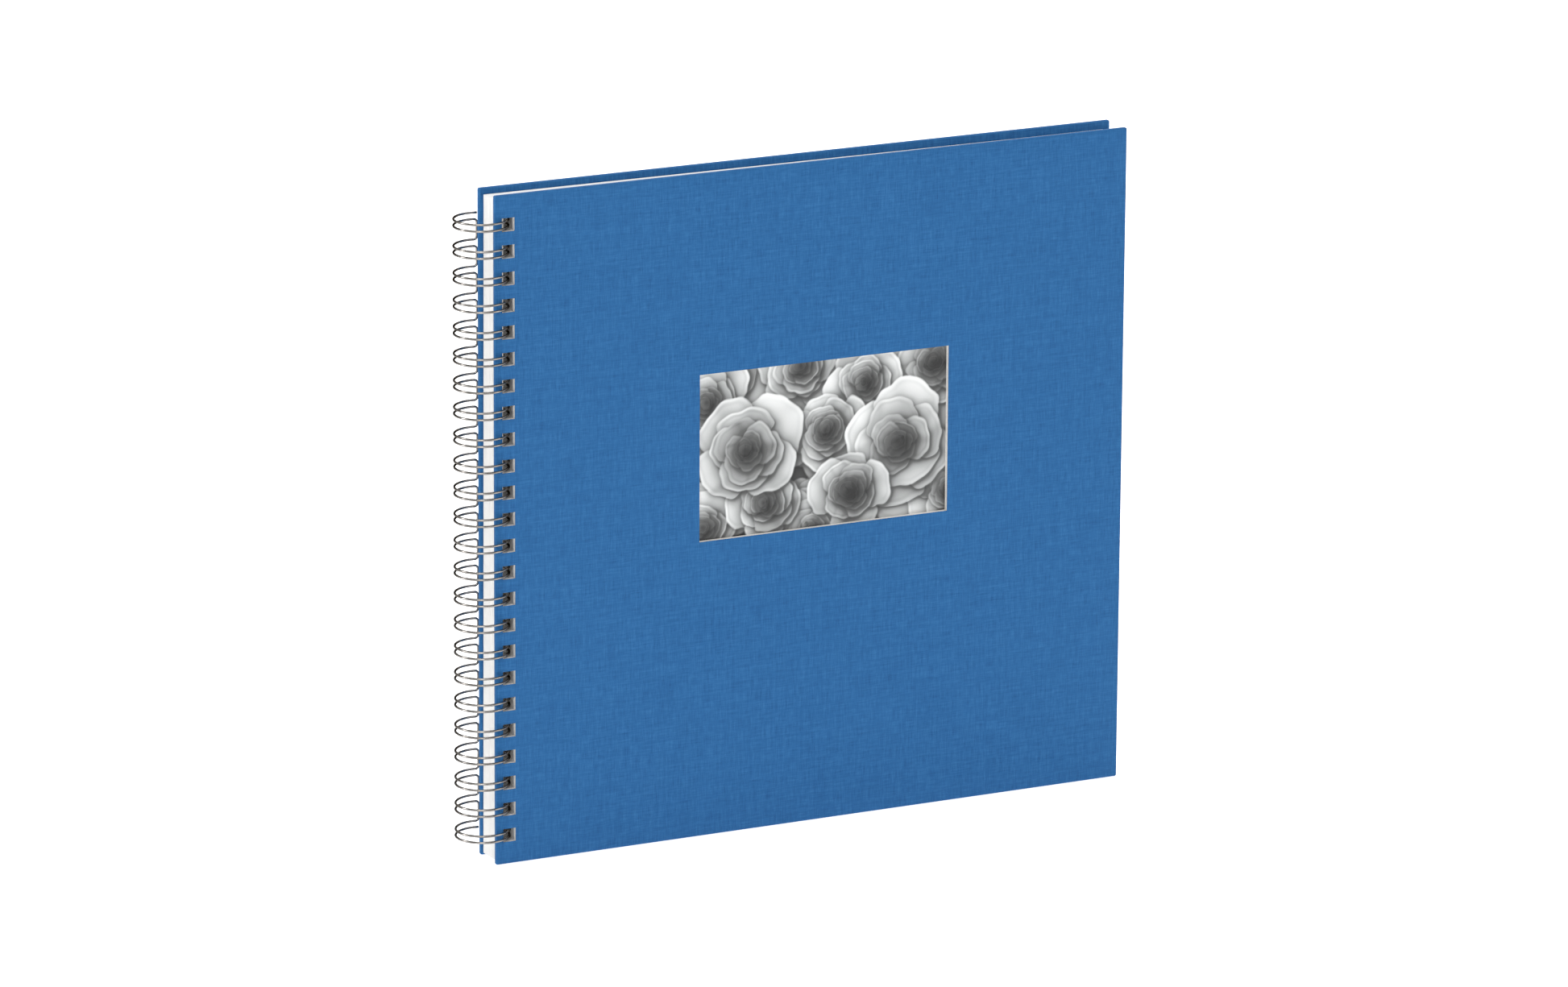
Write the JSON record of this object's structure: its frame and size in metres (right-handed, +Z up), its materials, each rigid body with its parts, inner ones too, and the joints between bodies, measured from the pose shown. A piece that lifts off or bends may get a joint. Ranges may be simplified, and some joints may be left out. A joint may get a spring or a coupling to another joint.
{
  "type": "scrapbook album",
  "caption": "Square wire-bound scrapbook album with cloth-covered board covers, a window framing a print in the front cover, and blank card leaves that turn on a twin-loop wire.",
  "frame": {"origin": "middle of the overall box, on the face the album stands on", "axes": "+X from the wire-bound spine to the fore edge, -Y out of the front cover, +Z up the spine"},
  "size_m": [0.3436, 0.0262, 0.32],
  "materials": {
    "cover_cloth": "matte fine linen weave",
    "cover_board": "raw grey board",
    "endpaper": "matte",
    "leaf_card": "matte smooth card",
    "print_paper": "satin black-and-white print",
    "pocket_card": "matte white card",
    "binding_steel": "bright plated round wire"
  },
  "bodies": {
    "back_cover": {"back_cover_board": "cover_board", "back_cover_cloth": "cover_cloth", "back_endpaper": "endpaper"},
    "leaf_20": {"leaf_20": "leaf_card"},
    "leaf_19": {"leaf_19": "leaf_card"},
    "leaf_18": {"leaf_18": "leaf_card"},
    "leaf_17": {"leaf_17": "leaf_card"},
    "leaf_16": {"leaf_16": "leaf_card"},
    "leaf_15": {"leaf_15": "leaf_card"},
    "leaf_14": {"leaf_14": "leaf_card"},
    "leaf_13": {"leaf_13": "leaf_card"},
    "leaf_12": {"leaf_12": "leaf_card"},
    "leaf_11": {"leaf_11": "leaf_card"},
    "leaf_10": {"leaf_10": "leaf_card"},
    "leaf_09": {"leaf_09": "leaf_card"},
    "leaf_08": {"leaf_08": "leaf_card"},
    "leaf_07": {"leaf_07": "leaf_card"},
    "leaf_06": {"leaf_06": "leaf_card"},
    "leaf_05": {"leaf_05": "leaf_card"},
    "leaf_04": {"leaf_04": "leaf_card"},
    "leaf_03": {"leaf_03": "leaf_card"},
    "leaf_02": {"leaf_02": "leaf_card"},
    "leaf_01": {"leaf_01": "leaf_card"},
    "front_cover": {"front_cover_board": "cover_board", "front_cover_cloth": "cover_cloth", "front_endpaper": "endpaper", "window_print": "print_paper", "window_pocket_card": "pocket_card"},
    "binding": {"binding_wire": "binding_steel"}
  },
  "joints": [
    {"name": "leaf_20_turn", "type": "hinge", "parent": "back_cover", "child": "leaf_20", "pos_m": [-0.15871, 0, 0.16], "axis": [0, 0, -1], "range_deg": [0, 180]},
    {"name": "leaf_19_turn", "type": "hinge", "parent": "leaf_20", "child": "leaf_19", "pos_m": [-0.15871, 0, 0.16], "axis": [0, 0, -1], "range_deg": [0, 180]},
    {"name": "leaf_18_turn", "type": "hinge", "parent": "leaf_19", "child": "leaf_18", "pos_m": [-0.15871, 0, 0.16], "axis": [0, 0, -1], "range_deg": [0, 180]},
    {"name": "leaf_17_turn", "type": "hinge", "parent": "leaf_18", "child": "leaf_17", "pos_m": [-0.15871, 0, 0.16], "axis": [0, 0, -1], "range_deg": [0, 180]},
    {"name": "leaf_16_turn", "type": "hinge", "parent": "leaf_17", "child": "leaf_16", "pos_m": [-0.15871, 0, 0.16], "axis": [0, 0, -1], "range_deg": [0, 180]},
    {"name": "leaf_15_turn", "type": "hinge", "parent": "leaf_16", "child": "leaf_15", "pos_m": [-0.15871, 0, 0.16], "axis": [0, 0, -1], "range_deg": [0, 180]},
    {"name": "leaf_14_turn", "type": "hinge", "parent": "leaf_15", "child": "leaf_14", "pos_m": [-0.15871, 0, 0.16], "axis": [0, 0, -1], "range_deg": [0, 180]},
    {"name": "leaf_13_turn", "type": "hinge", "parent": "leaf_14", "child": "leaf_13", "pos_m": [-0.15871, 0, 0.16], "axis": [0, 0, -1], "range_deg": [0, 180]},
    {"name": "leaf_12_turn", "type": "hinge", "parent": "leaf_13", "child": "leaf_12", "pos_m": [-0.15871, 0, 0.16], "axis": [0, 0, -1], "range_deg": [0, 180]},
    {"name": "leaf_11_turn", "type": "hinge", "parent": "leaf_12", "child": "leaf_11", "pos_m": [-0.15871, 0, 0.16], "axis": [0, 0, -1], "range_deg": [0, 180]},
    {"name": "leaf_10_turn", "type": "hinge", "parent": "leaf_11", "child": "leaf_10", "pos_m": [-0.15871, 0, 0.16], "axis": [0, 0, -1], "range_deg": [0, 180]},
    {"name": "leaf_09_turn", "type": "hinge", "parent": "leaf_10", "child": "leaf_09", "pos_m": [-0.15871, 0, 0.16], "axis": [0, 0, -1], "range_deg": [0, 180]},
    {"name": "leaf_08_turn", "type": "hinge", "parent": "leaf_09", "child": "leaf_08", "pos_m": [-0.15871, 0, 0.16], "axis": [0, 0, -1], "range_deg": [0, 180]},
    {"name": "leaf_07_turn", "type": "hinge", "parent": "leaf_08", "child": "leaf_07", "pos_m": [-0.15871, 0, 0.16], "axis": [0, 0, -1], "range_deg": [0, 180]},
    {"name": "leaf_06_turn", "type": "hinge", "parent": "leaf_07", "child": "leaf_06", "pos_m": [-0.15871, 0, 0.16], "axis": [0, 0, -1], "range_deg": [0, 180]},
    {"name": "leaf_05_turn", "type": "hinge", "parent": "leaf_06", "child": "leaf_05", "pos_m": [-0.15871, 0, 0.16], "axis": [0, 0, -1], "range_deg": [0, 180]},
    {"name": "leaf_04_turn", "type": "hinge", "parent": "leaf_05", "child": "leaf_04", "pos_m": [-0.15871, 0, 0.16], "axis": [0, 0, -1], "range_deg": [0, 180]},
    {"name": "leaf_03_turn", "type": "hinge", "parent": "leaf_04", "child": "leaf_03", "pos_m": [-0.15871, 0, 0.16], "axis": [0, 0, -1], "range_deg": [0, 180]},
    {"name": "leaf_02_turn", "type": "hinge", "parent": "leaf_03", "child": "leaf_02", "pos_m": [-0.15871, 0, 0.16], "axis": [0, 0, -1], "range_deg": [0, 180]},
    {"name": "leaf_01_turn", "type": "hinge", "parent": "leaf_02", "child": "leaf_01", "pos_m": [-0.15871, 0, 0.16], "axis": [0, 0, -1], "range_deg": [0, 180]},
    {"name": "front_cover_turn", "type": "hinge", "parent": "leaf_01", "child": "front_cover", "pos_m": [-0.15871, 0, 0.16], "axis": [0, 0, -1], "range_deg": [0, 180]},
    {"name": "binding_roll", "type": "hinge", "parent": "back_cover", "child": "binding", "pos_m": [-0.15871, 0, 0.16], "axis": [0, 0, 1], "range_deg": [-12, 30]}
  ]
}
